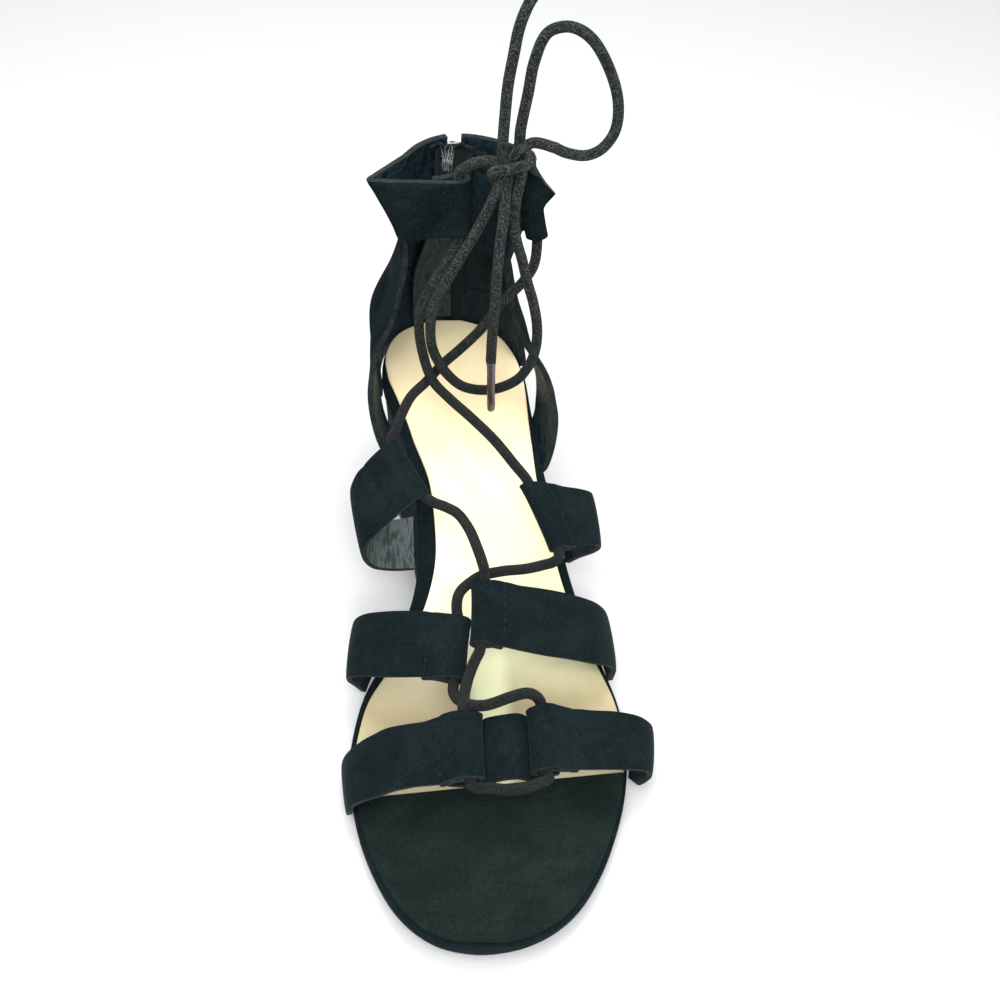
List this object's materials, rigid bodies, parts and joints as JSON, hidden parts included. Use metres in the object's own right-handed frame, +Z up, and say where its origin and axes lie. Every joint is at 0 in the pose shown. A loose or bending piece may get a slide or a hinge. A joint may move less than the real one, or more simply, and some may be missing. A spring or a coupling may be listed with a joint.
{
  "type": "lace-up wedge sandal",
  "caption": "Left lace-up wedge sandal with open toe, strap pairs that fold round the lace, heel counter, flared collar and rear zip.",
  "frame": {"origin": "middle of the shoe's footprint on the floor, measured without the free lace ends", "axes": "+Z up, -Y towards the toe, +Y towards the heel, +X towards the outer side of the left foot"},
  "size_m": [0.0984, 0.2388, 0.2089],
  "materials": {
    "rubber": "matt black rubber",
    "suede": "black suede with a short nap",
    "sock": "smooth pale tan lining leather",
    "tape": "woven black tape",
    "metal": "dark coated metal",
    "lace": "charcoal braided cord",
    "tip": "glossy dark brown plastic"
  },
  "bodies": {
    "shoe": {"aglet_high": "tip", "aglet_low": "tip", "footbed_board": "suede", "front_strap": "suede", "lace_crossing_1": "lace", "lace_crossing_2": "lace", "lace_crossing_3": "lace", "lace_knot": "lace", "lace_loop_high": "lace", "lace_loop_low": "lace", "lace_tail_high": "lace", "lace_tail_low": "lace", "lace_tie_inner": "lace", "lace_tie_outer": "lace", "lace_toe_bar": "lace", "outsole": "rubber", "rear_upper": "suede", "second_strap_inner": "suede", "second_strap_outer": "suede", "sock": "sock", "third_strap_inner": "suede", "third_strap_outer": "suede", "toe_cover": "suede", "wedge": "suede", "zip_slider": "metal", "zip_tape": "tape", "zip_teeth": "metal"},
    "pull_tab": {"zip_pull": "metal"}
  },
  "joints": [
    {"name": "pull_tab_swing", "type": "hinge", "parent": "shoe", "child": "pull_tab", "pos_m": [-0.01172, 0.11253, 0.13031], "axis": [1, 0, 0], "range_deg": [0, 140]}
  ]
}
